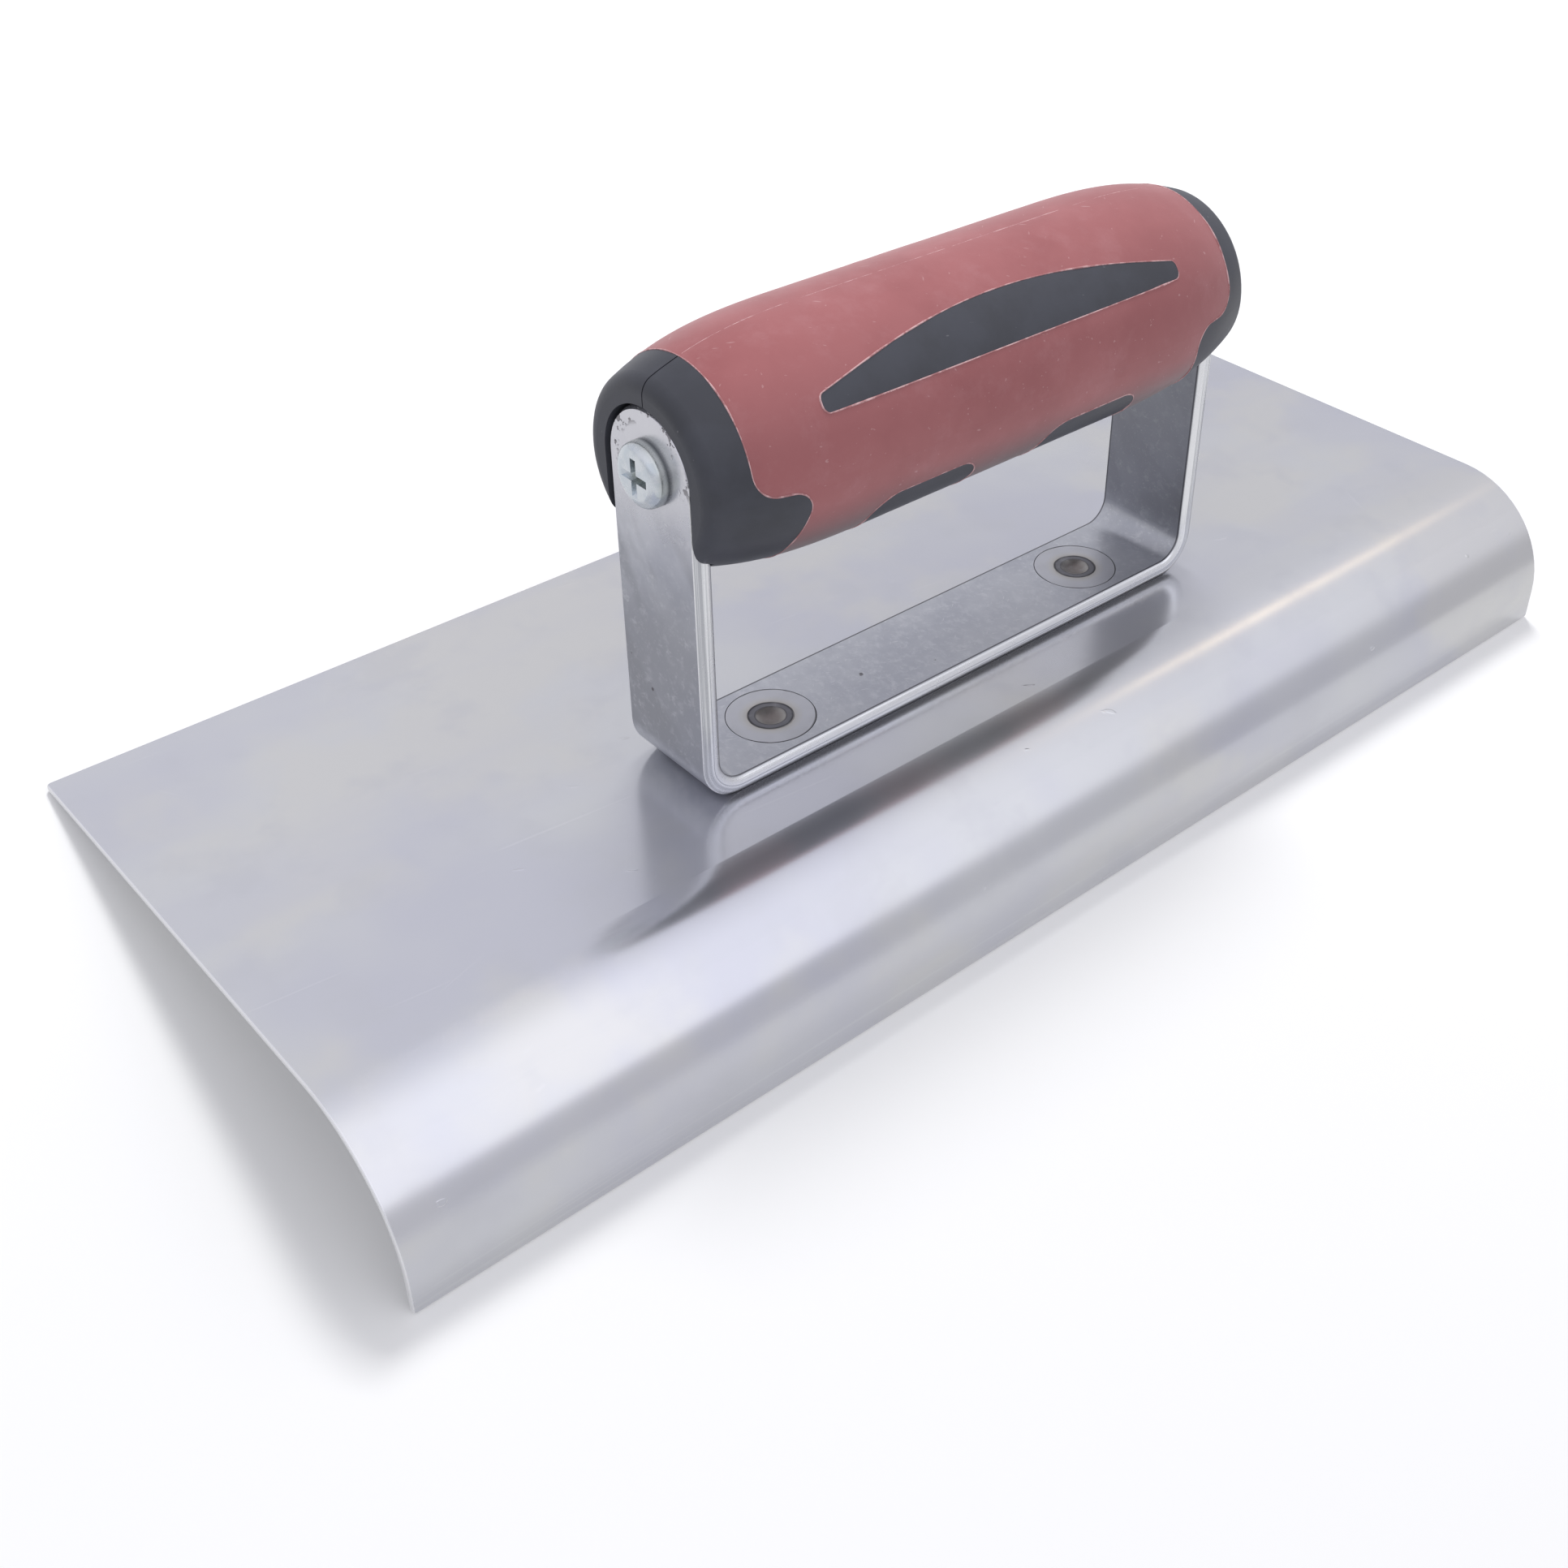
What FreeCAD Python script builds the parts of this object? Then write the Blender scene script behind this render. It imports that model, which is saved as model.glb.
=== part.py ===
import FreeCAD, Part
import math
import os

# Concrete hand edger: a sheet blade with a long turned-down lip, carried by a strap bracket
# under a two-material barrel handle.  Millimetres.  +X runs along the blade, +Y towards its
# back edge, +Z up.  The origin is on the working face, at mid length, under the handle.

V = FreeCAD.Vector

# Blade
blade_length = 254.0
blade_width = 101.6            # plan width, back edge to the outside of the lip
sheet = 1.0
bend_inner_radius = 19.05      # radius that the blade leaves on the slab's edge
lip_depth = 25.4               # lip's lower edge below the working face
bend_to_handle = 20.25         # start of the bend to the line under the handle
blade_corner_radius = 0.8
blade_edge_break = 0.25

# Bracket
strap_width = 19.05
strap_thickness = 3.1
strap_span = 109.7             # over the outside of the two legs
strap_bend_inner_radius = 4.2
strap_crown = 0.55             # bulge of the strap's rolled edges

# Handle
handle_height = 53.7           # widest line of the handle, above the working face
handle_half_width = 18.25      # front to back, at mid length
handle_rise = 18.8             # top of the handle above its widest line
handle_drop = 16.6             # bottom of the handle below its widest line
end_half_width = 13.8          # at the handle's end faces
barrel_flat = 24.0             # half of the stretch where the handle keeps its full size
shoulder_radius = 2.6
end_face_proud = 0.35          # end faces stand this far outside the legs

# Overmoulded sleeve and the core that shows through it
sleeve_wall = 2.4
sleeve_end_inset = 6.3         # end face to the sleeve's upper edge
lobe_inset = 15.8              # end face to the tip of the cap's lobe
lobe_root_inset = 13.3         # end face to the sleeve's lower edge
lobe_rise = 1.0                # top of the lobe above the widest line
lobe_depth = 9.5               # lobe's root below the widest line
lobe_slope = 0.6               # fall of the lobe's upper edge, from its neck to its tip
lobe_neck_radius = 3.8
lobe_tip_radius = 3.2
lobe_root_radius = 5.0
crescent_half_length = 36.2
crescent_base = 9.5            # straight lower edge above the widest line
crescent_height = 6.2
crescent_end_height = 2.3
crescent_end_round = 0.45      # radius of the ends' corners, as a share of their height
finger_pad_length = 20.8
finger_pad_spacing = 35.0
finger_pad_top = 6.1           # upper edge below the widest line
finger_pad_corner_radius = 4.4
core_wall = 3.0
cavity_half_length = 33.0
dowel_radius = 2.0
dowel_length = 5.0
dowel_spacing = 77.0
dowel_offset = 9.5             # dowels below the widest line

# Screws and inserts
screw_rise = 0.9               # screw axis and centre of a leg's round top, above the widest line
screw_radius = 2.5
screw_length = 13.0
screw_head_radius = 4.9
screw_head_height = 2.6
screw_head_round = 1.6
drive_half_width = 2.9
drive_wing = 1.2
drive_depth = 1.7
drive_length_taper = 0.45      # a wing's length at the bottom of the recess, as a share
drive_wing_taper = 0.8         # a wing's thickness there, as a share
insert_radius = 4.0
insert_length = 10.0
insert_groove_width = 1.2
insert_groove_depth = 0.5
insert_groove_places = (0.3, 0.7)

# Studs that hold the bracket on the blade
stud_spacing = 69.6
stud_radius = 3.7
stud_dish_radius = 2.45
stud_dish_depth = 0.7
stud_washer_radius = 7.2
stud_washer_thickness = 1.3

# Clearances
moulded_gap = 0.05             # between the sleeve and the core
parting_gap = 0.2              # between the two halves of the core
pocket_gap = 0.35              # round a leg in its pocket
pocket_floor_gap = 0.1         # behind a leg
screw_hole_gap = 0.25
thread_gap = 0.05
insert_gap = 0.05
screw_tip_gap = 2.0
dowel_gap = 0.1
stud_gap = 0.05
washer_gap = 0.12

# Derived sizes
y_tangent = -bend_to_handle
y_front = y_tangent - bend_inner_radius - sheet
y_back = y_front + blade_width
leg_outer = strap_span / 2
leg_inner = leg_outer - strap_thickness
strap_top = sheet + strap_thickness
handle_half_length = leg_outer + end_face_proud
pocket_floor = leg_inner - pocket_floor_gap
far = 2 * (handle_half_length + handle_half_width + handle_rise)
handle_axis = V(0, 0, handle_height)
screw_height = handle_height + screw_rise
screw_axis = V(0, 0, screw_height)
SIDES = {"left": -1, "right": 1}


def box(x0, x1, y0, y1, z0, z1):
    return Part.makeBox(x1 - x0, y1 - y0, z1 - z0, V(x0, y0, z0))


def rounded(solid, radius, wanted):
    """Round every edge of the solid that the test picks out."""
    edges = [edge for edge in solid.Edges if wanted(edge)]
    return solid.makeFillet(radius, edges)


def along_y(edge):
    direction = edge.tangentAt(edge.FirstParameter)
    return abs(abs(direction.y) - 1) < 1e-6


def mirrored(solid):
    return solid.mirror(V(0, 0, 0), V(1, 0, 0))


def on_side(solid, side):
    """A solid drawn on the right, moved to the side asked for."""
    return solid if side > 0 else mirrored(solid)


def one_solid(shape):
    return shape.Solids[0] if len(shape.Solids) == 1 else shape


# --- Blade and bracket ---

def arc(centre_y, centre_z, radius, start, middle, end, x):
    points = []
    for angle in (start, middle, end):
        turn = math.radians(angle)
        points.append(V(x, centre_y + radius * math.cos(turn), centre_z + radius * math.sin(turn)))
    return Part.Arc(*points).toShape()


def blade():
    x = -blade_length / 2
    centre_z = -bend_inner_radius
    outer = arc(y_tangent, centre_z, bend_inner_radius + sheet, 90, 135, 180, x)
    inner = arc(y_tangent, centre_z, bend_inner_radius, 180, 135, 90, x)
    lip_front = V(x, y_front, -lip_depth)
    lip_back = V(x, y_front + sheet, -lip_depth)
    top_back = V(x, y_back, sheet)
    under_back = V(x, y_back, 0)
    edges = [
        Part.makeLine(top_back, outer.Vertexes[0].Point),
        outer,
        Part.makeLine(outer.Vertexes[1].Point, lip_front),
        Part.makeLine(lip_front, lip_back),
        Part.makeLine(lip_back, inner.Vertexes[0].Point),
        inner,
        Part.makeLine(inner.Vertexes[1].Point, under_back),
        Part.makeLine(under_back, top_back),
    ]
    plate = Part.Face(Part.Wire(edges)).extrude(V(blade_length, 0, 0))

    def back_corner(edge):
        middle = edge.CenterOfMass
        upright = edge.BoundBox.ZLength > sheet / 2 and edge.BoundBox.YLength < sheet / 2
        return upright and middle.y > y_back - sheet

    def lip_corner(edge):
        middle = edge.CenterOfMass
        flat = edge.BoundBox.ZLength < sheet / 2 and edge.BoundBox.XLength < sheet / 2
        return flat and middle.z < -lip_depth + sheet

    def long_edge(edge):
        straight = edge.BoundBox.XLength > blade_length / 2
        middle = edge.CenterOfMass
        return straight and (middle.y > y_back - sheet or middle.z < -lip_depth + sheet)

    plate = rounded(plate, blade_corner_radius, back_corner)
    plate = rounded(plate, blade_corner_radius, lip_corner)
    return rounded(plate, blade_edge_break, long_edge)


def leg_outline(half_width, x0, x1, z_low):
    """Upright slab with a round top about the screw axis, seen along X."""
    slab = box(x0, x1, -half_width, half_width, z_low, screw_height)
    top = Part.makeCylinder(half_width, x1 - x0, V(x0, 0, screw_height), V(1, 0, 0))
    return slab.fuse(top).removeSplitter()


def strap_section():
    """Strap cut across at the left leg's screw: flat faces between crowned edges."""
    half = strap_width / 2
    flat = half - strap_crown
    middle = -(leg_outer + leg_inner) / 2
    corners = [V(x, y, screw_height) for x, y in
               ((-leg_outer, -flat), (-leg_inner, -flat), (-leg_inner, flat), (-leg_outer, flat))]
    edges = [
        Part.Arc(corners[0], V(middle, -half, screw_height), corners[1]).toShape(),
        Part.makeLine(corners[1], corners[2]),
        Part.Arc(corners[2], V(middle, half, screw_height), corners[3]).toShape(),
        Part.makeLine(corners[3], corners[0]),
    ]
    return Part.Wire(edges)


def strap_path():
    """Middle line of the strap: down the left leg, along the blade and up the right leg."""
    bend = strap_bend_inner_radius + strap_thickness / 2
    x = (leg_outer + leg_inner) / 2
    z = sheet + strap_thickness / 2
    diagonal = bend * (1 - math.sqrt(0.5))

    def bend_arc(side):
        ends = [V(side * x, 0, z + bend), V(side * (x - diagonal), 0, z + diagonal),
                V(side * (x - bend), 0, z)]
        return Part.Arc(*(ends if side < 0 else ends[::-1])).toShape()

    return Part.Wire([
        Part.makeLine(V(-x, 0, screw_height), V(-x, 0, z + bend)),
        bend_arc(-1),
        Part.makeLine(V(-(x - bend), 0, z), V(x - bend, 0, z)),
        bend_arc(1),
        Part.makeLine(V(x, 0, z + bend), V(x, 0, screw_height)),
    ])


def leg_top(side):
    """Half-round end of a leg, with the strap's crowned edge carried round it."""
    half = strap_width / 2
    flat = half - strap_crown
    inner, outer = side * leg_inner, side * leg_outer
    rim = Part.Arc(V(inner, flat, screw_height), V((inner + outer) / 2, half, screw_height),
                   V(outer, flat, screw_height)).toShape()
    edges = [
        Part.makeLine(V(inner, 0, screw_height), V(inner, flat, screw_height)),
        rim,
        Part.makeLine(V(outer, flat, screw_height), V(outer, 0, screw_height)),
        Part.makeLine(V(outer, 0, screw_height), V(inner, 0, screw_height)),
    ]
    return Part.Face(Part.Wire(edges)).revolve(screw_axis, V(1, 0, 0), 180)


def bracket():
    strap = strap_path().makePipeShell([strap_section()], True, False)
    for side in SIDES.values():
        strap = strap.fuse(leg_top(side))
    for side in SIDES.values():
        start = V(side * (leg_inner - 1), 0, screw_height)
        strap = strap.cut(Part.makeCylinder(screw_radius + screw_hole_gap, strap_thickness + 2,
                                            start, V(side, 0, 0)))
        x = side * stud_spacing / 2
        strap = strap.cut(Part.makeCylinder(stud_radius + stud_gap, strap_thickness + 2,
                                            V(x, 0, sheet - 1)))
        seat_depth = stud_washer_thickness
        strap = strap.cut(Part.makeCylinder(stud_washer_radius + washer_gap, seat_depth + 1,
                                            V(x, 0, strap_top - seat_depth)))
    return strap


def stud(side):
    x = side * stud_spacing / 2
    body = Part.makeCylinder(stud_radius, strap_thickness, V(x, 0, sheet))
    ball_radius = (stud_dish_radius ** 2 + stud_dish_depth ** 2) / (2 * stud_dish_depth)
    ball = Part.makeSphere(ball_radius, V(x, 0, strap_top + ball_radius - stud_dish_depth))
    return body.cut(ball)


def stud_washer(side):
    x = side * stud_spacing / 2
    low = strap_top - stud_washer_thickness
    ring = Part.makeCylinder(stud_washer_radius, stud_washer_thickness, V(x, 0, low))
    hole = Part.makeCylinder(stud_radius + stud_gap, stud_washer_thickness, V(x, 0, low))
    return ring.cut(hole)


# --- Handle ---

def barrel(shrink, half_length, shoulder):
    """Barrel along X: round in plan, taller above its widest line than it is deep below it."""
    middle = handle_half_width - shrink
    end = end_half_width - shrink
    fall = (middle - end) / (handle_half_length - barrel_flat) ** 3

    def radius(x):
        return middle - fall * max(0.0, abs(x) - barrel_flat) ** 3

    reach = half_length - barrel_flat
    stations = [barrel_flat + reach * step / 4 for step in range(5)]
    curve = Part.BSplineCurve()
    curve.interpolate([V(x, radius(x), 0) for x in stations],
                      InitialTangent=V(1, 0, 0), FinalTangent=V(1, -3 * fall * reach ** 2, 0))
    tail = V(half_length, radius(half_length), 0)
    edges = [
        Part.makeLine(V(0, 0, 0), V(0, middle, 0)),
        Part.makeLine(V(0, middle, 0), V(barrel_flat, middle, 0)),
        curve.toShape(),
        Part.makeLine(tail, V(half_length, 0, 0)),
        Part.makeLine(V(half_length, 0, 0), V(0, 0, 0)),
    ]
    half = Part.Face(Part.Wire(edges)).revolve(V(0, 0, 0), V(1, 0, 0), 360)
    if shoulder > 0:
        half = rounded(half, shoulder, lambda edge: edge.Closed and edge.CenterOfMass.x > half_length - 1e-3)
    whole = half.fuse(mirrored(half)).removeSplitter()
    return egg_shaped(whole, shrink)


def egg_shaped(solid, shrink):
    """Stretch the part above the widest line and squash the part below it."""
    parts = []
    for rise, low in ((handle_rise, 0), (handle_drop, -far)):
        scale = FreeCAD.Matrix()
        scale.scale(V(1, 1, (rise - shrink) / (handle_half_width - shrink)))
        half = solid.common(box(-far, far, -far, far, low, low + far))
        parts.append(half.transformGeometry(scale))
    whole = parts[0].fuse(parts[1])
    whole.translate(handle_axis)
    return whole


def upright(outline, y0, y1):
    """Solid with the outline given in X and Z (above the widest line), from y0 to y1."""
    points = [V(x, y0, handle_height + z) for x, z in outline]
    face = Part.Face(Part.makePolygon(points + points[:1]))
    return face.extrude(V(0, y1 - y0, 0))


def near(edge, x, z):
    middle = edge.CenterOfMass
    return along_y(edge) and abs(middle.x - x) < 1e-6 and abs(middle.z - handle_height - z) < 1e-6


def cap_region(grow):
    """All that lies beyond the sleeve's right end; a lobe runs inwards below the widest line."""
    upper = handle_half_length - sleeve_end_inset - grow
    tip = handle_half_length - lobe_inset - grow
    root = handle_half_length - lobe_root_inset - grow
    top_of_lobe = lobe_rise + grow
    corners = [(far, far), (upper, far), (upper, top_of_lobe), (tip, top_of_lobe - lobe_slope),
               (root, -lobe_depth), (root, -far), (far, -far)]
    solid = upright(corners, -far, far)
    radii = (lobe_neck_radius - grow, lobe_tip_radius + grow, lobe_root_radius)
    for (x, z), radius in zip(corners[2:5], radii):
        solid = rounded(solid, radius, lambda edge: near(edge, x, z))
    return solid


def crescent_region(grow):
    """Bow with a straight lower edge, an arched upper edge and rounded ends."""
    low = handle_height + crescent_base - grow
    half = crescent_half_length + grow
    top = low + crescent_height + 2 * grow
    arch_rise = crescent_height - crescent_end_height
    arch_radius = (half ** 2 + arch_rise ** 2) / (2 * arch_rise)
    arch = Part.makeCylinder(arch_radius, far, V(0, 0, top - arch_radius), V(0, 1, 0))
    block = box(-half, half, 0, far, low, top + 1)
    end_radius = crescent_end_round * (crescent_end_height + 2 * grow)
    return rounded(block.common(arch), end_radius, along_y)


def finger_pad_region(side, grow):
    centre = side * finger_pad_spacing / 2
    half = finger_pad_length / 2 + grow
    top = handle_height - finger_pad_top + grow
    block = box(centre - half, centre + half, -far, far, handle_height - far, top)

    def top_corner(edge):
        return along_y(edge) and edge.CenterOfMass.z > top - 1e-6

    return rounded(block, finger_pad_corner_radius + grow, top_corner)


def windows(grow):
    """Where the core comes up flush through the sleeve."""
    bow = crescent_region(grow)
    found = [bow, bow.mirror(V(0, 0, 0), V(0, 1, 0))]
    for side in SIDES.values():
        found.append(finger_pad_region(side, grow))
        found.append(on_side(cap_region(grow), side))
    return found


def grip_sleeve():
    outer = barrel(0, handle_half_length, 0)
    inner = barrel(sleeve_wall, handle_half_length + 1, 0)
    shell = outer.cut(inner)
    for region in windows(0):
        shell = shell.cut(region)
    return shell


def core():
    """Whole core: a barrel under the sleeve, with lands that come up flush through it."""
    outer = barrel(0, handle_half_length, shoulder_radius)
    body = barrel(sleeve_wall + moulded_gap, handle_half_length - sleeve_end_inset, 0)
    for region in windows(-moulded_gap):
        body = body.fuse(outer.common(region))
    return body


def leg_pocket(side):
    half_width = strap_width / 2 + pocket_gap
    return on_side(leg_outline(half_width, pocket_floor, far, screw_height - far), side)


def insert_hole(side):
    hole = Part.makeCylinder(insert_radius + insert_gap, insert_length + 1,
                             V(pocket_floor - insert_length, 0, screw_height), V(1, 0, 0))
    tip = leg_outer - screw_length - screw_tip_gap
    relief = Part.makeCylinder(screw_radius + screw_hole_gap, pocket_floor - tip,
                               V(tip, 0, screw_height), V(1, 0, 0))
    return on_side(hole.fuse(relief), side)


def core_halves():
    whole = core()
    cavity = barrel(sleeve_wall + core_wall, cavity_half_length, 0)
    whole = whole.cut(cavity)
    for side in SIDES.values():
        whole = whole.cut(leg_pocket(side))
        whole = whole.cut(insert_hole(side))
    front = whole.common(box(-far, far, -far, -parting_gap / 2, handle_height - far, handle_height + far))
    rear = whole.common(box(-far, far, parting_gap / 2, far, handle_height - far, handle_height + far))
    for side in SIDES.values():
        centre = V(side * dowel_spacing / 2, 0, handle_height - dowel_offset)
        pin = Part.makeCylinder(dowel_radius, 2 * dowel_length, centre - V(0, dowel_length, 0), V(0, 1, 0))
        front = front.fuse(pin)
        depth = dowel_length + dowel_gap
        socket = Part.makeCylinder(dowel_radius + dowel_gap, depth, centre, V(0, 1, 0))
        rear = rear.cut(socket)
    return front, rear


# --- Screws and inserts ---

def drive_recess():
    """Cross recess in the head of the right screw."""
    top = leg_outer + screw_head_height
    wings = []
    for long_axis in (V(0, 1, 0), V(0, 0, 1)):
        short_axis = V(0, 0, 1) if long_axis.y else V(0, 1, 0)
        sections = []
        for depth, half in ((-0.01, drive_half_width), (drive_depth, drive_half_width * drive_length_taper)):
            centre = V(top - depth, 0, screw_height)
            thick = drive_wing / 2 * (1 if depth < 0 else drive_wing_taper)
            corners = [centre + long_axis * (a * half) + short_axis * (b * thick)
                       for a, b in ((1, 1), (-1, 1), (-1, -1), (1, -1))]
            sections.append(Part.makePolygon(corners + corners[:1]))
        wings.append(Part.makeLoft(sections, True, True))
    return wings[0].fuse(wings[1])


def screw(side):
    head = Part.makeCylinder(screw_head_radius, screw_head_height, V(leg_outer, 0, screw_height), V(1, 0, 0))
    head = rounded(head, screw_head_round,
                   lambda edge: edge.Closed and edge.CenterOfMass.x > leg_outer + screw_head_height / 2)
    shank = Part.makeCylinder(screw_radius, screw_length, V(leg_outer, 0, screw_height), V(-1, 0, 0))
    shank = shank.makeChamfer(screw_radius / 4, [edge for edge in shank.Edges if edge.Closed
                              and edge.CenterOfMass.x < leg_outer - screw_length / 2])
    return on_side(head.fuse(shank).cut(drive_recess()), side)


def threaded_insert(side):
    start = V(pocket_floor - insert_length, 0, screw_height)
    sleeve = Part.makeCylinder(insert_radius, insert_length, start, V(1, 0, 0))
    sleeve = sleeve.cut(Part.makeCylinder(screw_radius + thread_gap, insert_length, start, V(1, 0, 0)))
    for share in insert_groove_places:
        low = start + V(insert_length * share - insert_groove_width / 2, 0, 0)
        ring = Part.makeCylinder(insert_radius + 1, insert_groove_width, low, V(1, 0, 0))
        neck = Part.makeCylinder(insert_radius - insert_groove_depth, insert_groove_width, low, V(1, 0, 0))
        sleeve = sleeve.cut(ring.cut(neck))
    return on_side(sleeve, side)


def nodes():
    front, rear = core_halves()
    named = {
        "blade": blade(),
        "handle_bracket": bracket(),
        "grip_sleeve": grip_sleeve(),
        "front_core_half": front,
        "rear_core_half": rear,
    }
    for name, side in SIDES.items():
        named[name + "_stud"] = stud(side)
        named[name + "_stud_washer"] = stud_washer(side)
        named[name + "_screw"] = screw(side)
        named[name + "_threaded_insert"] = threaded_insert(side)
    return named


os.makedirs("parts", exist_ok=True)
for name, shape in nodes().items():
    shape = one_solid(shape)
    shape.exportStep("parts/" + name + ".step")
    print(name, "solids", len(shape.Solids), "valid", shape.isValid(), "volume", round(shape.Volume, 1))
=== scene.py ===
import math

import bmesh
import bpy
from mathutils import Matrix, Vector, noise
from mathutils.bvhtree import BVHTree


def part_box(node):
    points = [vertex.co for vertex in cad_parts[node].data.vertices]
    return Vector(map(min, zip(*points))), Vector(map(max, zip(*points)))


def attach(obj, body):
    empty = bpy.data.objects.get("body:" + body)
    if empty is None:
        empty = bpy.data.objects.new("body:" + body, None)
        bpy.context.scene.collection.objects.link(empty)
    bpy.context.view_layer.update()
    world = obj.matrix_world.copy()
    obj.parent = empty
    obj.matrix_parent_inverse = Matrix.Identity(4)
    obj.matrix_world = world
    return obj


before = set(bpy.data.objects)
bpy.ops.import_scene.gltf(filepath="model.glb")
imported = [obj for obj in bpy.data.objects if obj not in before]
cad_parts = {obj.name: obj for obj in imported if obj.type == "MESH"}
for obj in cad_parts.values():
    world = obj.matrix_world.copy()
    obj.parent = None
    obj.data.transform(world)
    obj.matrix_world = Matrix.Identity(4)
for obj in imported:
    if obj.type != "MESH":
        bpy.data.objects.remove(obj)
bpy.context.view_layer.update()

MM = 0.001

# ---------------------------------------------------------------- camera

CAMERA_AT = Vector((-0.1853, -0.1919, 0.1803))
CAMERA_HEADING = math.radians(47.57)     # from +X towards +Y
CAMERA_DIP = math.radians(36.01)         # below the horizon
CAMERA_ROLL = math.radians(1.04)
CAMERA_LENS = 43.54                      # on a 36 mm sensor
CAMERA_SHIFT = (-0.0656, -0.0406)


def make_camera():
    data = bpy.data.cameras.new("camera")
    data.lens = CAMERA_LENS
    data.sensor_width = 36.0
    data.shift_x, data.shift_y = CAMERA_SHIFT
    data.clip_start, data.clip_end = 0.01, 50.0
    camera = bpy.data.objects.new("camera", data)
    bpy.context.scene.collection.objects.link(camera)
    level = math.cos(CAMERA_DIP)
    forward = Vector((level * math.cos(CAMERA_HEADING), level * math.sin(CAMERA_HEADING),
                      -math.sin(CAMERA_DIP)))
    right = Vector((math.sin(CAMERA_HEADING), -math.cos(CAMERA_HEADING), 0))
    up = right.cross(forward)
    c, s = math.cos(CAMERA_ROLL), math.sin(CAMERA_ROLL)
    side, top = c * right + s * up, c * up - s * right
    camera.matrix_world = Matrix((side, top, -forward)).transposed().to_4x4()
    camera.location = CAMERA_AT
    bpy.context.scene.camera = camera


# ---------------------------------------------------------------- node helpers

class Nodes:
    """Builds a node tree socket by socket.  A value is a number, a tuple or another socket."""

    def __init__(self, tree):
        self.tree = tree

    def node(self, kind, sockets, **settings):
        made = self.tree.nodes.new("ShaderNode" + kind)
        for name, value in settings.items():
            setattr(made, name, value)
        for key, value in sockets.items():
            self.feed(made.inputs[key], value)
        return made

    def feed(self, socket, value):
        if isinstance(value, bpy.types.NodeSocket):
            self.tree.links.new(value, socket)
        else:
            socket.default_value = value

    def math(self, operation, a, b=0.0):
        return self.node("Math", {0: a, 1: b}, operation=operation).outputs[0]

    def add(self, *values):
        total = values[0]
        for value in values[1:]:
            total = self.math("ADD", total, value)
        return total

    def times(self, a, b):
        return self.math("MULTIPLY", a, b)

    def most(self, *values):
        top = values[0]
        for value in values[1:]:
            top = self.math("MAXIMUM", top, value)
        return top

    def spread(self, value, low, high, to_low=0.0, to_high=1.0):
        """value from low..high mapped smoothly to to_low..to_high."""
        return self.node("MapRange", {"Value": value, "From Min": low, "From Max": high,
                                      "To Min": to_low, "To Max": to_high},
                         interpolation_type="SMOOTHSTEP").outputs[0]

    def band(self, value, low, high, soft):
        """1 between low and high, falling to 0 over soft on each side."""
        return self.times(self.spread(value, low - soft, low), self.spread(value, high, high + soft, 1, 0))


class Shader(Nodes):
    """A Principled material."""

    def __init__(self, name):
        self.material = bpy.data.materials.new(name)
        self.material.use_nodes = True
        super().__init__(self.material.node_tree)
        self.bsdf = self.tree.nodes["Principled BSDF"]

    def set(self, **sockets):
        for name, value in sockets.items():
            self.feed(self.bsdf.inputs[name.replace("_", " ")], value)

    def coords(self):
        return self.node("TexCoord", {}).outputs["Object"]

    def xyz(self):
        return self.node("SeparateXYZ", {"Vector": self.coords()}).outputs

    def place(self, scale=(1, 1, 1), turn=(0, 0, 0), shift=(0, 0, 0)):
        """Object coordinates, in metres, turned, stretched and shifted."""
        turned = self.node("Mapping", {"Vector": self.coords(), "Rotation": turn}).outputs[0]
        return self.node("Mapping", {"Vector": turned, "Scale": scale, "Location": shift}).outputs[0]

    def noise(self, scale, detail=4.0, rough=0.55, where=None):
        where = where or self.place()
        return self.node("TexNoise", {"Vector": where, "Scale": scale, "Detail": detail,
                                      "Roughness": rough}).outputs["Fac"]

    def tint(self, share, a, b):
        mix = self.node("Mix", {}, data_type="RGBA")
        self.feed(mix.inputs["Factor"], share)
        self.feed(mix.inputs["A"], rgba(a))
        self.feed(mix.inputs["B"], rgba(b))
        return mix.outputs["Result"]

    def bump(self, height, distance, strength=1.0, under=None):
        sockets = {"Height": height, "Distance": distance, "Strength": strength}
        if under is not None:
            sockets["Normal"] = under
        return self.node("Bump", sockets).outputs[0]

    def scratches(self, turn, across, along, low, shift=0.0):
        """Thin sparse lines that run at a turn about Z; across and along are per metre."""
        where = self.place((along, across, across), (0, 0, math.radians(turn)), (shift, shift, 0))
        return self.spread(self.noise(1.0, 2.0, 0.5, where), low, low + 0.05)


def rgba(colour):
    if isinstance(colour, bpy.types.NodeSocket):
        return colour
    return (*colour, 1.0)


# ---------------------------------------------------------------- materials

STRAP_THICKNESS = 3.1 * MM
STRAP_BEND = 4.2 * MM              # inner radius
STRAP_RIM = 0.55 * MM              # width of the drawn edge, from each side face
STUD_RING = 8 * MM                 # reach of the stud's colour ramp


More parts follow.
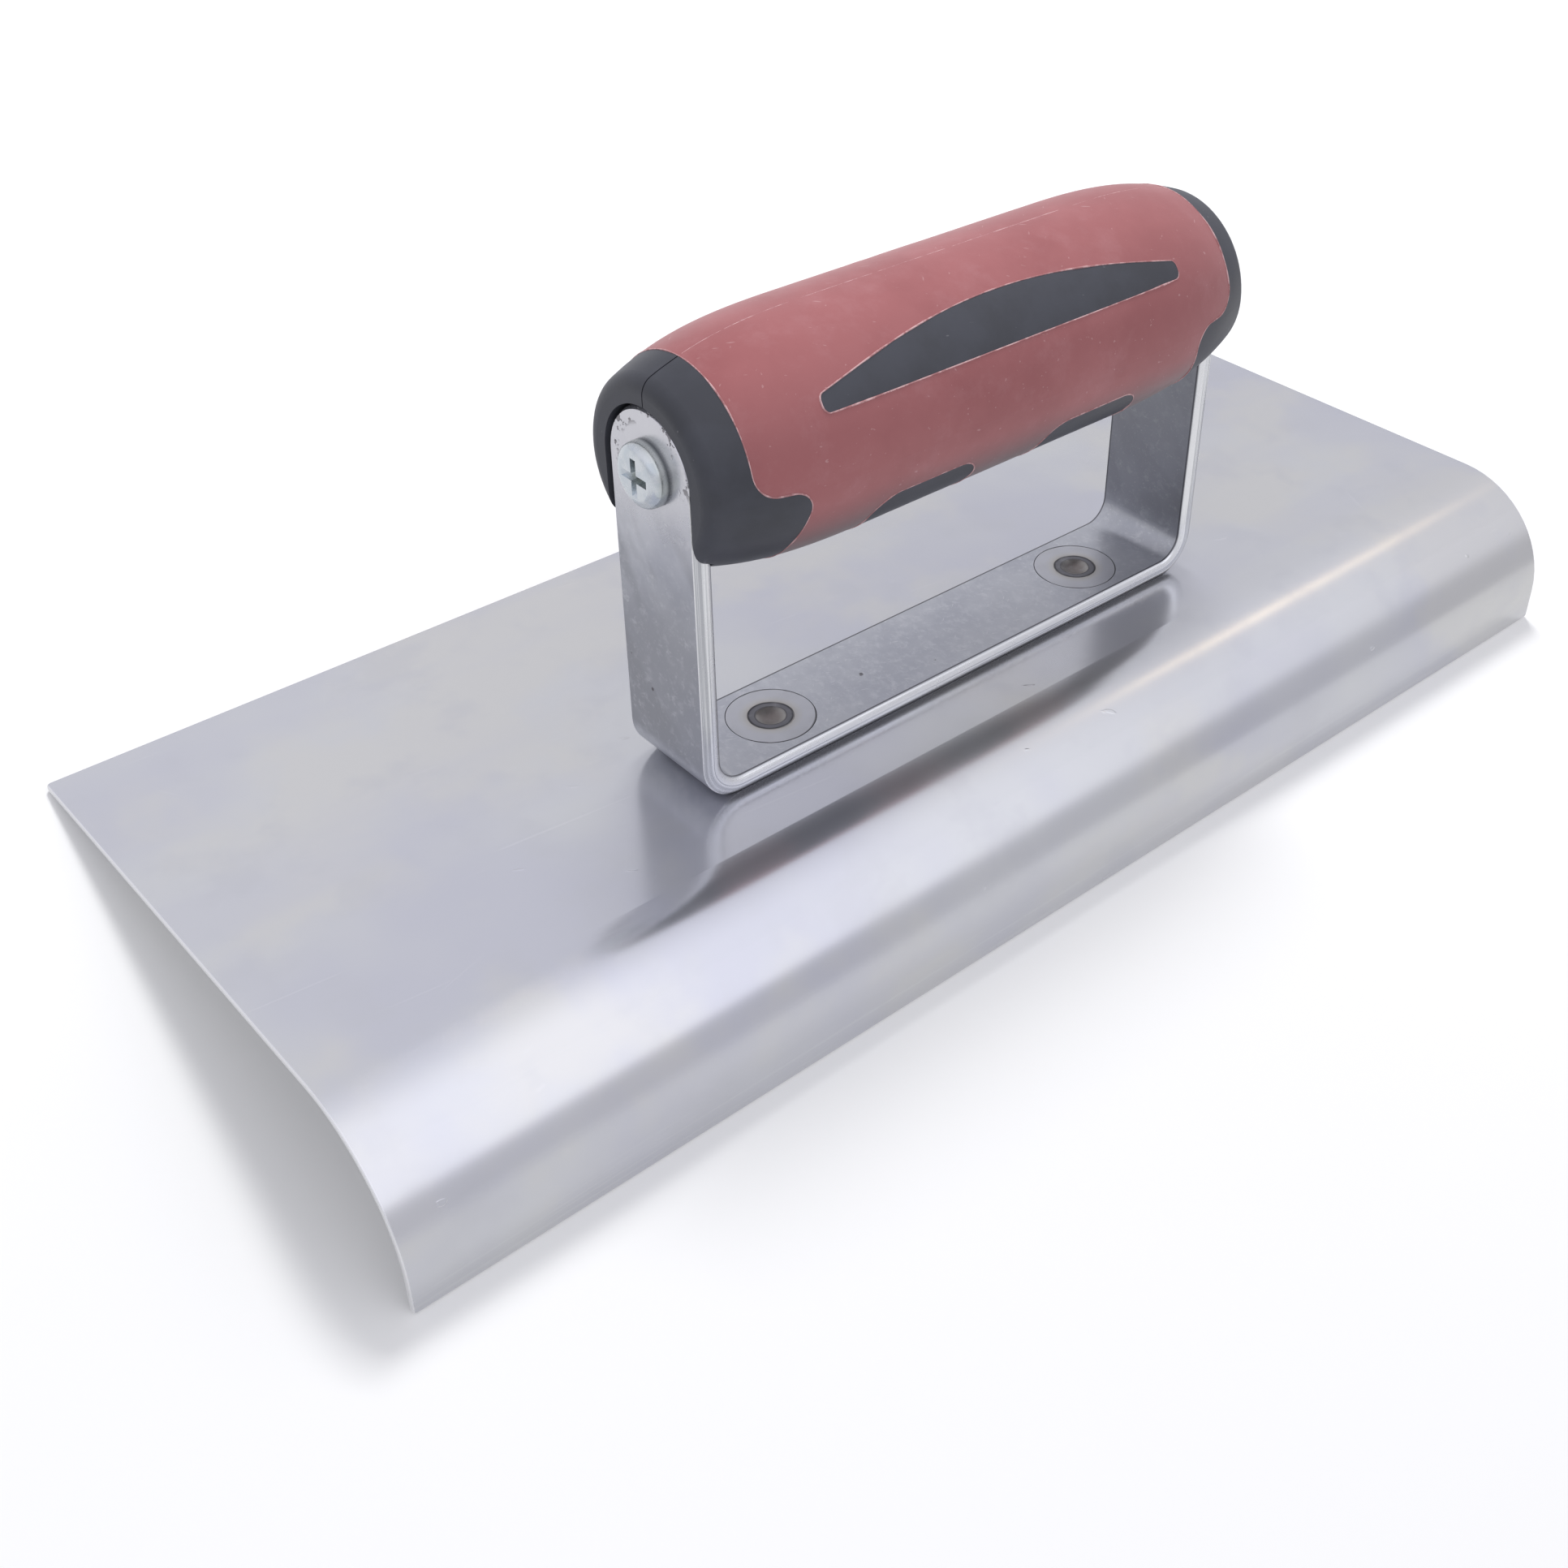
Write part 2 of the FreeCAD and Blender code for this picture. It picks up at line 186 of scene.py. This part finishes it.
def blade_steel():
    """Smooth rolled stainless: cloudy tints, hairlines, small nicks and a rubbed lip."""
    s = Shader("blade_steel")
    x, _, height = s.xyz()
    low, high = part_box("blade")
    cloud = s.noise(17.0, 3.0, 0.5)
    warm = s.noise(21.0, 4.0, 0.55, s.place(shift=(3.1, 1.7, 0.4)))
    film = s.noise(60.0, 5.0, 0.6)
    streak = s.noise(1.0, 3.0, 0.5, s.place((7, 60, 60), (0, 0, math.radians(4))))
    hair = s.most(*(s.scratches(*facts) for facts in
                    ((6, 1500, 22, 0.72, 0.0), (-17, 1300, 34, 0.74, 2.0),
                     (58, 1400, 40, 0.75, 5.0), (-63, 1200, 46, 0.755, 7.0))))
    nick = s.spread(s.noise(1.0, 2.0, 0.4, s.place((160, 420, 420), (0, 0, 0.5))), 0.775, 0.80)
    lip = s.spread(height, low.z + 1 * MM, low.z + 9 * MM, 1, 0)
    rub = s.times(lip, s.scratches(0, 1700, 14, 0.60, 9.0))
    cut = s.most(s.spread(s.math("ABSOLUTE", x), high.x - 0.35 * MM, high.x - 0.10 * MM),
                 s.spread(height, low.z + 0.10 * MM, low.z + 0.40 * MM, 1, 0))
    tone = s.tint(s.spread(cloud, 0.40, 0.60), (0.610, 0.616, 0.668), (0.668, 0.674, 0.686))
    tone = s.tint(s.spread(warm, 0.50, 0.62, 0, 0.75), tone, (0.690, 0.684, 0.662))
    tone = s.tint(s.spread(streak, 0.45, 0.65, 0, 0.5), tone, (0.625, 0.630, 0.675))
    tone = s.tint(s.spread(film, 0.50, 0.66, 0, 0.40), tone, (0.600, 0.605, 0.635))
    tone = s.tint(s.times(s.most(s.times(hair, 0.4), s.times(rub, 0.5)), 0.35), tone, (0.82, 0.82, 0.82))
    tone = s.tint(s.times(cut, 0.8), tone, (0.90, 0.90, 0.91))
    rough = s.add(s.times(cut, 0.12), s.spread(cloud, 0.35, 0.65, 0.175, 0.225),
                  s.spread(film, 0.3, 0.7, -0.015, 0.02), s.times(hair, 0.03), s.times(rub, 0.05))
    waves = s.bump(s.noise(1.0, 2.0, 0.5, s.place((9, 34, 34))), 0.5 * MM, 0.10)
    fine = s.bump(s.noise(1.0, 3.0, 0.6, s.place((60, 1500, 1500))), 0.01 * MM, 0.10, waves)
    lines = s.bump(s.times(s.most(hair, rub), 0.4), 0.008 * MM, 0.35, fine)
    s.set(Base_Color=tone, Metallic=0.78, Roughness=rough, Normal=s.bump(nick, 0.08 * MM, 0.6, lines))
    return s.material


def strap_depth(s, x, z):
    """How far a point lies under the outer skin of the bent strap, as a share of its thickness."""
    low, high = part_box("handle_bracket")
    bend = STRAP_BEND + STRAP_THICKNESS
    beside = s.math("MAXIMUM", s.math("SUBTRACT", s.math("ABSOLUTE", x), high.x - bend), 0)
    beneath = s.math("MAXIMUM", s.math("SUBTRACT", low.z + bend, z), 0)
    reach = s.math("SQRT", s.add(s.times(beside, beside), s.times(beneath, beneath)))
    return s.math("DIVIDE", s.math("SUBTRACT", bend, reach), STRAP_THICKNESS)


def bracket_steel():
    """Dull rolled strap: mottled faces, nicked leg tops, drawn edges with painted highlight lines and a
    painted shade line; painted shade on the inner faces, the lower legs and the foot of the edges, and a
    painted highlight on the leg tops.
    """
    s = Shader("bracket_steel")
    x, y, z = s.xyz()
    low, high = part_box("handle_bracket")
    screw_low, screw_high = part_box("right_screw")
    aside = s.math("ABSOLUTE", y)
    under_skin = strap_depth(s, x, z)
    rim_at = high.y - STRAP_RIM
    rim = s.spread(aside, rim_at - 0.02 * MM, rim_at + 0.05 * MM)
    # Dark line on the inner face just inside the drawn edge: painted shade in the crease.
    crease_shade = s.times(s.band(aside, rim_at - 0.22 * MM, rim_at - 0.02 * MM, 0.12 * MM),
                     s.spread(under_skin, 0.4, 0.6))
    skin = s.spread(under_skin, 0.02, 0.08, 1, 0)
    # Inner faces of the strap painted darker: painted shade.
    inside_shade = s.times(s.spread(under_skin, 0.92, 0.98), s.spread(z, 5 * MM, 12 * MM))
    floor_face = s.spread(z, 6 * MM, 9 * MM, 1, 0)
    # Upper part of the legs: painted lighter as a painted highlight, kept out of the painted shade, and given
    # lower roughness.
    lit_leg_top = s.spread(z, high.z - 26 * MM, high.z - 8 * MM)
    above = s.math("SUBTRACT", z, (screw_low.z + screw_high.z) / 2)
    from_screw = s.math("SQRT", s.add(s.times(y, y), s.times(above, above)))
    leg_rim = s.times(s.spread(from_screw, 6.6 * MM, 7.8 * MM), s.spread(above, -2 * MM, 1 * MM))
    mottle = s.noise(75.0, 5.0, 0.62)
    blotch = s.noise(1.0, 3.0, 0.6, s.place((45, 80, 32), (0.5, 0, 0)))
    grit = s.noise(420.0, 4.0, 0.7)
    scuffs = s.spread(s.noise(1.0, 4.0, 0.75, s.place((330, 520, 520), (0, 0, 0.6))), 0.55, 0.68)
    worn = s.times(floor_face, s.spread(s.noise(1.0, 5.0, 0.75, s.place((700, 420, 700))), 0.50, 0.66))
    marks = s.most(s.scratches(24, 2200, 420, 0.68), s.scratches(-38, 2200, 460, 0.69, 4.0),
                   s.scratches(80, 2200, 500, 0.70, 8.0))
    marks = s.times(marks, s.spread(floor_face, 0, 1, 0.35, 1))
    lengthwise = {"X": s.times(under_skin, 11.0), "Y": s.times(s.add(x, z), 14.0), "Z": s.times(aside, 500.0)}
    draw = s.noise(1.0, 3.0, 0.65, s.node("CombineXYZ", lengthwise).outputs[0])
    pits = s.spread(s.noise(340.0, 2.0, 0.5), 0.745, 0.765)
    dents = s.times(s.spread(s.noise(430.0, 4.0, 0.7), 0.545, 0.575), leg_rim)
    tone = s.tint(s.spread(mottle, 0.35, 0.65), (0.480, 0.492, 0.540), (0.585, 0.597, 0.635))
    # Darker towards the bottom of the legs: painted shade, combined with random darker blotches.
    low_leg_shade = s.spread(z, high.z - 38 * MM, high.z - 20 * MM, 0.75, 0)
    blotch_and_shade = s.times(s.most(s.spread(blotch, 0.40, 0.62), low_leg_shade), s.spread(lit_leg_top, 0, 1, 0.9, 0.1))
    tone = s.tint(s.times(blotch_and_shade, s.spread(floor_face, 0, 1, 1, 0.3)), tone, (0.350, 0.356, 0.384))
    tone = s.tint(s.times(s.spread(grit, 0.50, 0.70), 0.35), tone, (0.62, 0.63, 0.66))
    tone = s.tint(s.most(s.times(scuffs, 0.40), s.times(worn, 0.30)), tone, (0.72, 0.725, 0.75))
    tone = s.tint(s.times(inside_shade, 0.60), tone, (0.20, 0.205, 0.225))
    tone = s.tint(s.times(lit_leg_top, 0.65), tone, (0.74, 0.73, 0.76))
    tone = s.tint(s.times(marks, 0.40), tone, (0.78, 0.78, 0.79))
    edge = s.tint(s.spread(draw, 0.42, 0.58), (0.50, 0.51, 0.53), (0.84, 0.85, 0.86))
    # Bright lines at the outer corner and near the inner face of the drawn edge: painted highlights, partly
    # edge wear.
    edge = s.tint(s.most(skin, s.band(under_skin, 0.66, 0.88, 0.10)), edge, (0.88, 0.885, 0.89))
    tone = s.tint(rim, tone, edge)
    tone = s.tint(s.times(crease_shade, 0.85), tone, (0.10, 0.10, 0.11))
    # Near-black along the foot of the edges where the strap meets the blade: painted contact shade.
    contact_shade = s.times(rim, s.spread(z, low.z + 0.60 * MM, low.z + 1.35 * MM, 1, 0))
    tone = s.tint(s.times(contact_shade, 0.92), tone, (0.035, 0.035, 0.04))
    tone = s.tint(s.most(s.times(pits, 0.75), s.times(dents, 0.75)), tone, (0.10, 0.09, 0.095))
    rough = s.add(s.spread(mottle, 0.3, 0.7, 0.30, 0.40), s.times(scuffs, 0.06), s.times(rim, -0.10),
                  s.times(lit_leg_top, -0.17))
    fine = s.bump(grit, 0.02 * MM, 0.25)
    fine = s.bump(marks, 0.02 * MM, 0.4, fine)
    fine = s.bump(s.times(draw, rim), 0.06 * MM, 0.8, fine)
    holes = s.math("SUBTRACT", 1.0, s.most(pits, dents))
    s.set(Base_Color=tone, Metallic=0.85, Roughness=rough, Normal=s.bump(holes, 0.15 * MM, 0.6, fine))
    return s.material


def stud_steel():
    """Ground steel with heat colours in rings round each stud."""
    s = Shader("stud_steel")
    x, y, _ = s.xyz()
    low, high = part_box("right_stud")
    centre = (low + high) / 2
    across = s.math("SUBTRACT", s.math("ABSOLUTE", x), centre.x)
    along = s.math("SUBTRACT", y, centre.y)
    reach = s.math("SQRT", s.add(s.times(across, across), s.times(along, along)))
    wobble = s.spread(s.noise(160.0, 3.0), 0.3, 0.7, -0.10 * MM, 0.10 * MM)
    reach = s.math("DIVIDE", s.add(reach, wobble), STUD_RING)
    stops = ((0.00, (0.20, 0.175, 0.165)), (0.16, (0.23, 0.205, 0.195)), (0.27, (0.31, 0.295, 0.28)),
             (0.298, (0.26, 0.245, 0.24)), (0.312, (0.07, 0.07, 0.075)), (0.335, (0.165, 0.163, 0.178)),
             (0.41, (0.155, 0.153, 0.170)), (0.432, (0.055, 0.055, 0.06)), (0.45, (0.06, 0.06, 0.065)),
             (0.470, (0.48, 0.462, 0.440)), (0.56, (0.53, 0.525, 0.53)), (0.66, (0.530, 0.535, 0.568)),
             (0.882, (0.530, 0.535, 0.568)), (0.895, (0.15, 0.15, 0.16)))
    ramp = s.node("ValToRGB", {"Fac": reach})
    elements = ramp.color_ramp.elements
    while len(elements) < len(stops):
        elements.new(1.0)
    for element, (position, colour) in zip(elements, stops):
        element.position = position
        element.color = rgba(colour)
    grain = s.noise(700.0, 3.0)
    cloud = s.noise(330.0, 4.0, 0.6)
    tone = s.tint(s.spread(cloud, 0.45, 0.75, 0, 0.25), ramp.outputs["Color"], (0.55, 0.55, 0.56))
    s.set(Base_Color=tone, Metallic=0.85, Roughness=s.spread(cloud, 0.3, 0.7, 0.32, 0.46),
          Normal=s.bump(grain, 0.02 * MM, 0.35))
    return s.material


def zinc_plate():
    """Bright plating, clear blue on the head, yellower down in the recess, with painted shade where it meets
    the leg.
    """
    s = Shader("zinc_plate")
    head_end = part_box("right_screw")[1].x
    leg_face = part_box("handle_bracket")[1].x
    depth = s.math("ABSOLUTE", s.xyz()["X"])
    deep = s.spread(depth, head_end - 1.6 * MM, head_end - 0.3 * MM, 1, 0)
    cloud = s.noise(420.0, 4.0, 0.6)
    grain = s.noise(1700.0, 3.0)
    tone = s.tint(s.spread(cloud, 0.35, 0.65), (0.60, 0.65, 0.69), (0.72, 0.75, 0.77))
    tone = s.tint(s.times(deep, 0.45), tone, (0.42, 0.44, 0.36))
    # Dark where the head meets the leg: painted shade.
    foot_shade = s.spread(depth, leg_face + 0.1 * MM, leg_face + 0.8 * MM, 0.85, 0)
    tone = s.tint(foot_shade, tone, (0.09, 0.10, 0.11))
    s.set(Base_Color=tone, Metallic=0.9, Roughness=s.spread(cloud, 0.3, 0.7, 0.20, 0.32),
          Normal=s.bump(grain, 0.02 * MM, 0.30))
    return s.material


def grip_rubber():
    """Brick red soft rubber with a powdery bloom, fine grain, small pale scuffs and painted shade darkening
    the underside.
    """
    s = Shader("grip_rubber")
    axis = handle_axis_height()
    mottling = s.noise(48.0, 4.0, 0.6)
    bloom = s.noise(150.0, 5.0, 0.7)
    grain = s.noise(2400.0, 3.0, 0.6)
    scuffs = s.most(s.scratches(35, 1500, 260, 0.71), s.scratches(-50, 1500, 300, 0.72, 3.0),
                    s.spread(s.noise(700.0, 3.0, 0.6), 0.74, 0.79))
    tone = s.tint(s.spread(mottling, 0.35, 0.65), (0.342, 0.108, 0.111), (0.390, 0.132, 0.135))
    tone = s.tint(s.spread(bloom, 0.45, 0.75, 0, 0.20), tone, (0.55, 0.30, 0.31))
    tone = s.tint(s.times(scuffs, 0.35), tone, (0.68, 0.45, 0.45))
    # Darker towards the bottom of the handle: painted shade.
    below = s.spread(s.xyz()["Z"], axis - 13 * MM, axis - 3 * MM, 0.90, 0)
    tone = s.tint(below, tone, (0.115, 0.082, 0.086))
    s.set(Base_Color=tone, Roughness=s.spread(bloom, 0.3, 0.7, 0.46, 0.60),
          Normal=s.bump(grain, 0.03 * MM, 0.35), Specular_IOR_Level=0.4,
          Sheen_Weight=0.24, Sheen_Roughness=0.45)
    return s.material


def flash_rubber():
    """Thin rubbed edge of the soft sleeve, paler than the rest."""
    s = Shader("flash_rubber")
    wear = s.noise(500.0, 4.0, 0.7)
    tone = s.tint(s.spread(wear, 0.40, 0.62), (0.42, 0.18, 0.185), (0.72, 0.47, 0.47))
    s.set(Base_Color=tone, Roughness=s.spread(wear, 0.3, 0.7, 0.45, 0.6),
          Normal=s.bump(wear, 0.02 * MM, 0.3))
    return s.material


def core_plastic():
    """Charcoal plastic with a satin moulded skin, rubbed specks and a little dust."""
    s = Shader("core_plastic")
    cloud = s.noise(80.0, 4.0, 0.6)
    grain = s.noise(2000.0, 3.0, 0.6)
    specks = s.most(s.spread(s.noise(820.0, 3.0, 0.6), 0.75, 0.79), s.scratches(20, 1600, 240, 0.74))
    tone = s.tint(s.spread(cloud, 0.35, 0.65), (0.046, 0.048, 0.058), (0.060, 0.063, 0.077))
    tone = s.tint(s.times(specks, 0.35), tone, (0.27, 0.27, 0.28))
    s.set(Base_Color=tone, Roughness=s.spread(cloud, 0.3, 0.7, 0.40, 0.50),
          Normal=s.bump(grain, 0.025 * MM, 0.30), Specular_IOR_Level=0.4)
    return s.material


def brass():
    s = Shader("brass")
    grain = s.noise(900.0, 3.0)
    tone = s.tint(grain, (0.62, 0.45, 0.20), (0.72, 0.55, 0.28))
    s.set(Base_Color=tone, Metallic=1.0, Roughness=s.spread(grain, 0.3, 0.7, 0.25, 0.4),
          Normal=s.bump(grain, 0.02 * MM, 0.3))
    return s.material


def dress(material, *names):
    for name in names:
        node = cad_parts[name]
        node.data.materials.clear()
        node.data.materials.append(material)


def dress_all():
    dress(blade_steel(), "blade")
    dress(bracket_steel(), "handle_bracket")
    dress(grip_rubber(), "grip_sleeve")
    dress(core_plastic(), "front_core_half", "rear_core_half")
    dress(stud_steel(), "left_stud", "right_stud", "left_stud_washer", "right_stud_washer")
    dress(zinc_plate(), "left_screw", "right_screw")
    dress(brass(), "left_threaded_insert", "right_threaded_insert")


# ---------------------------------------------------------------- moulding flash

FLASH_RADIUS = 0.11 * MM
RIDGE_RADIUS = 0.085 * MM
SHARP = math.radians(40)
OUTWARD = 0.75                    # least cosine between a skin face's normal and the way out
RIDGE_STEP = 0.6 * MM
RIDGE_ABOVE = 5 * MM              # where the rays that look for the skin start
RIDGE_REACH = 6 * MM              # how far the ridge may fall from the sleeve's highest point
BEAD_NOISE = 300                  # per metre
RIDGE_SINK = 0.06 * MM            # the bead lies mostly in the skin


def sleeve_mesh():
    mesh = bmesh.new()
    mesh.from_mesh(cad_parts["grip_sleeve"].data)
    bmesh.ops.remove_doubles(mesh, verts=mesh.verts, dist=0.002 * MM)
    bmesh.ops.recalc_face_normals(mesh, faces=mesh.faces)
    return mesh


def handle_axis_height():
    low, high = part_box("left_screw")
    return (low.z + high.z) / 2


def outer_rims(mesh):
    """The sharp edges where the sleeve's outer skin ends at an inlay or a cap, as closed loops."""
    height = handle_axis_height()

    def outward(face):
        centre = face.calc_center_median()
        radial = Vector((0, centre.y, centre.z - height)).normalized()
        return face.normal.dot(radial) > OUTWARD

    def on_rim(edge):
        if len(edge.link_faces) != 2 or edge.calc_face_angle(0) < SHARP:
            return False
        return any(outward(face) for face in edge.link_faces)

    left = {edge for edge in mesh.edges if on_rim(edge)}
    loops = []
    while left:
        edge = min(left, key=lambda e: e.index)
        left.remove(edge)
        chain = [edge.verts[0], edge.verts[1]]
        while True:
            ahead = [e for e in chain[-1].link_edges if e in left]
            if not ahead:
                break
            left.remove(ahead[0])
            chain.append(ahead[0].other_vert(chain[-1]))
        loops.append([vert.co.copy() for vert in chain])
    return loops


def ridge_lines(mesh):
    """Where the mould closed along the top and the bottom of the sleeve."""
    low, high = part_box("grip_sleeve")
    tree = BVHTree.FromBMesh(mesh)
    steps = int((high.x - low.x) / RIDGE_STEP)
    runs = []
    for start, way, level in ((high.z + RIDGE_ABOVE, -1, high.z), (low.z - RIDGE_ABOVE, 1, low.z)):
        run = []
        for step in range(1, steps):
            x = low.x + step * RIDGE_STEP
            hit = tree.ray_cast(Vector((x, 0.02 * MM, start)), Vector((0, 0, way)))[0]
            if hit is not None and abs(hit.z - level) < RIDGE_REACH:
                run.append(hit + Vector((0, 0, way * RIDGE_SINK)))
            elif run:
                runs.append(run)
                run = []
        runs.append(run)
    return [run for run in runs if len(run) > 4]


def wire(name, lines, radius, closed, unevenness):
    """Thin uneven bead along each line."""
    data = bpy.data.curves.new(name, "CURVE")
    data.dimensions = "3D"
    data.bevel_depth = radius
    data.bevel_resolution = 1
    data.use_fill_caps = True
    for points in lines:
        spline = data.splines.new("POLY")
        spline.use_cyclic_u = closed and (points[0] - points[-1]).length < 1 * MM
        spline.points.add(len(points) - 1)
        for point, at in zip(spline.points, points):
            point.co = (*at, 1)
            point.radius = 1 + unevenness * noise.noise(at * BEAD_NOISE)
    piece = bpy.data.objects.new(name, data)
    bpy.context.scene.collection.objects.link(piece)
    data.materials.append(flash_rubber())
    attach(piece, "root")


def make_flash():
    mesh = sleeve_mesh()
    wire("inlay_flash", outer_rims(mesh), FLASH_RADIUS, True, 0.9)
    wire("mould_line", ridge_lines(mesh), RIDGE_RADIUS, False, 0.5)
    mesh.free()


# ---------------------------------------------------------------- studio

SKY_TINT = (0.965, 0.970, 1.045, 1)
SKY_LEVEL = 0.78               # to the left; it falls to SKY_RIGHT towards +X
SKY_RIGHT = 0.68
CANOPY_GAIN = 0.62             # long diffuser overhead and in front of the tool
HORIZON_DROP = 0.12            # darker room between the diffuser and the floor
AMBIENT_SHARE = 0.69           # how much of it matt surfaces get; the lamp gives them the rest
LAMP_AT, LAMP_SIZE, LAMP_POWER = (0.25, 0.29, 0.89), (0.24, 0.24), 5.3
STRIP_AT, STRIP_AIM, STRIP_SIZE = (0.75, -0.05, 0.71), (0.05, -0.03, 0), (0.09, 0.20)
STRIP_POWER, STRIP_COLOUR = 0.07, (1.0, 0.74, 0.44)
FLOOR_SIZE = 8.0
PAPER, PAPER_GLOW, PAPER_DROP = (0.92, 0.92, 0.905), 0.06, 0.2 * MM
BENCH, BENCH_GLOW, BENCH_DROP = (0.52, 0.52, 0.52), 0.26, 0.6 * MM


def make_sky():
    """White tent: even light, a long diffuser that ends above the front horizon, a dim rim.

    Matt surfaces get less of it than mirrored rays do, which no real tent would give.
    """
    world = bpy.data.worlds.new("studio")
    bpy.context.scene.world = world
    world.use_nodes = True
    n = Nodes(world.node_tree)
    x, y, z = n.node("SeparateXYZ", {"Vector": n.node("TexCoord", {}).outputs["Generated"]}).outputs
    level = n.spread(x, 0.2, 0.8, SKY_LEVEL, SKY_RIGHT)
    forward = n.spread(y, -0.40, 0.55, CANOPY_GAIN, 0)
    above = n.spread(z, 0.20, 0.33)
    across = n.times(n.spread(x, -0.30, 0.18, 0.30, 1), n.spread(x, 0.42, 0.90, 1, 0.10))
    canopy = n.times(n.times(forward, above), across)
    rim = n.band(z, -0.12, 0.12, 0.12)
    background = world.node_tree.nodes["Background"]
    background.inputs["Color"].default_value = SKY_TINT
    whole = n.add(level, canopy, n.times(rim, -HORIZON_DROP))
    matt = n.node("LightPath", {}).outputs["Is Diffuse Ray"]
    n.feed(background.inputs["Strength"], n.times(whole, n.spread(matt, 0, 1, 1, AMBIENT_SHARE)))


def softbox(name, at, aim, size, power, colour=(1, 1, 1), mirrored=True):
    data = bpy.data.lights.new(name, "AREA")
    data.shape = "RECTANGLE"
    data.size, data.size_y = size
    data.energy = power
    data.color = colour
    light = bpy.data.objects.new(name, data)
    light.location = at
    light.rotation_euler = (Vector(aim) - Vector(at)).to_track_quat("-Z", "Y").to_euler()
    light.visible_glossy = mirrored
    bpy.context.scene.collection.objects.link(light)


def floor_sheet(name, colour, glow, drop):
    """Level sheet that the tool's back edge and lip both touch.  It is clear from below."""
    low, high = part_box("blade")
    material = bpy.data.materials.new(name)
    material.use_nodes = True
    n = Nodes(material.node_tree)
    bsdf = material.node_tree.nodes["Principled BSDF"]
    bsdf.inputs["Base Color"].default_value = rgba(colour)
    bsdf.inputs["Roughness"].default_value = 0.9
    bsdf.inputs["Emission Color"].default_value = (1, 1, 1, 1)
    bsdf.inputs["Emission Strength"].default_value = glow
    clear = n.node("BsdfTransparent", {}).outputs[0]
    below = n.node("NewGeometry", {}).outputs["Backfacing"]
    mix = n.node("MixShader", {0: below, 1: bsdf.outputs[0], 2: clear})
    n.feed(material.node_tree.nodes["Material Output"].inputs[0], mix.outputs[0])
    bpy.ops.mesh.primitive_plane_add(size=FLOOR_SIZE)
    floor = bpy.context.object
    floor.name = name
    floor.data.materials.append(material)
    floor.rotation_euler = (math.atan2(-low.z, high.y - low.y), 0, 0)
    floor.location = (0, low.y, low.z - drop)
    return floor


def make_floor():
    """White paper that only the camera sees, over a greyer bench that lights and mirrors in the tool."""
    paper = floor_sheet("paper", PAPER, PAPER_GLOW, PAPER_DROP)
    paper.visible_diffuse = False
    paper.visible_glossy = False
    bench = floor_sheet("bench", BENCH, BENCH_GLOW, BENCH_DROP)
    bench.visible_camera = False


def make_lights():
    make_sky()
    softbox("lamp", LAMP_AT, (0, 0, 0), LAMP_SIZE, LAMP_POWER, mirrored=False)
    softbox("warm_strip", STRIP_AT, STRIP_AIM, STRIP_SIZE, STRIP_POWER, STRIP_COLOUR)


make_camera()
make_floor()
make_lights()
dress_all()
make_flash()
bpy.context.scene.view_settings.view_transform = "Standard"
